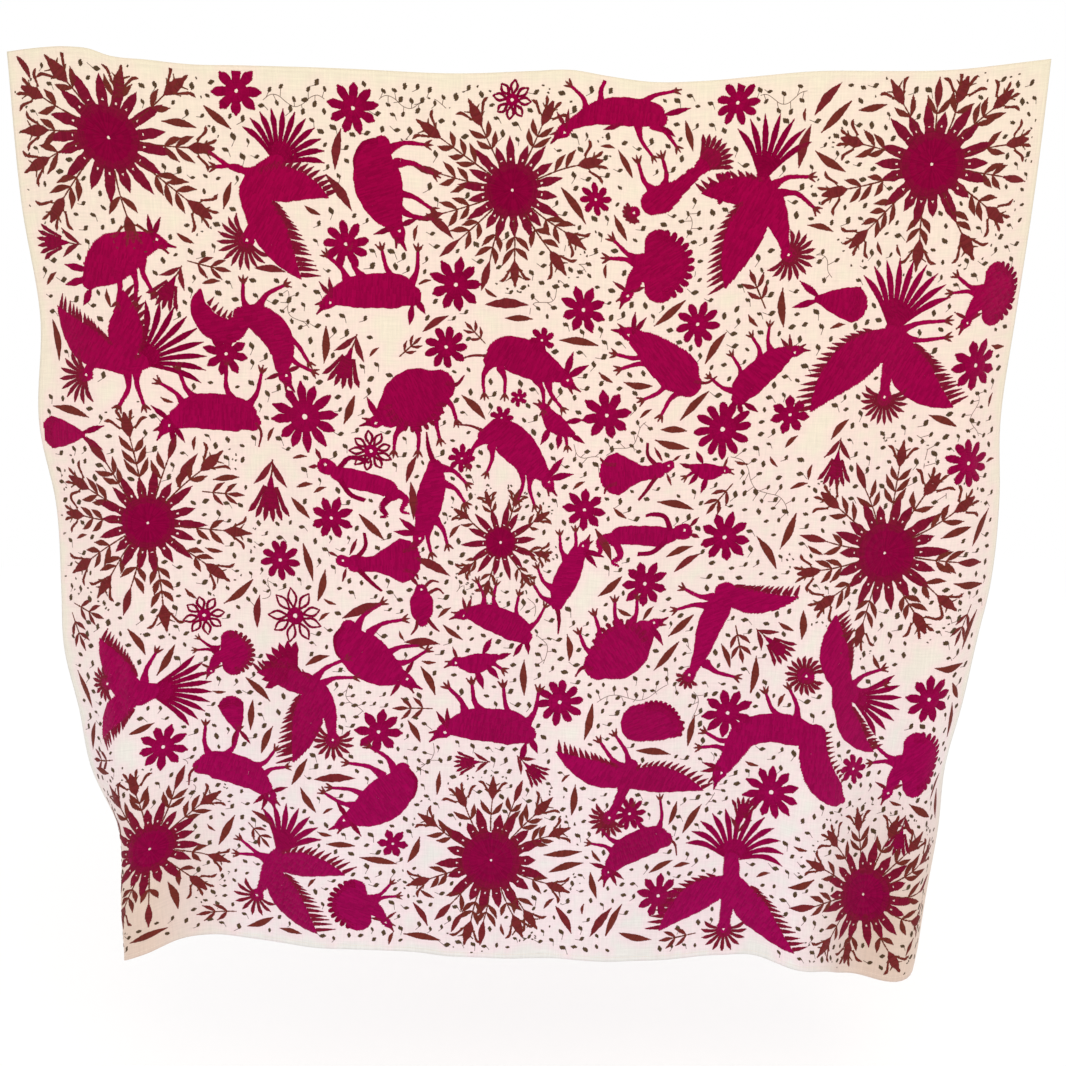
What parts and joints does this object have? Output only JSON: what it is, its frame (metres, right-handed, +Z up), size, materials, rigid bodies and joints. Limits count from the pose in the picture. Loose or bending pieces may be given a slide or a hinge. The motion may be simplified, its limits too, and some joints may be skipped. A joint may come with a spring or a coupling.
{
  "type": "otomi embroidered cloth",
  "caption": "Large rectangular cotton hanging cloth with hand-embroidered sunburst flowers, birds and animals in one thread colour, held at its top edge and hanging in soft folds.",
  "frame": {"origin": "middle of the cloth's top edge, where it is held", "axes": "+X along the top edge, to the right of someone facing the embroidered side; the embroidered side looks along -Y; +Z up, so the cloth hangs down -Z"},
  "size_m": [1.9732, 0.1413, 1.9167],
  "materials": {
    "cotton_ground": "plain woven off-white cotton, matt",
    "embroidery_thread": "magenta stranded cotton, close satin-like herringbone stitches with a soft sheen"
  },
  "bodies": {
    "root": {"cloth": "cotton_ground"}
  },
  "joints": []
}
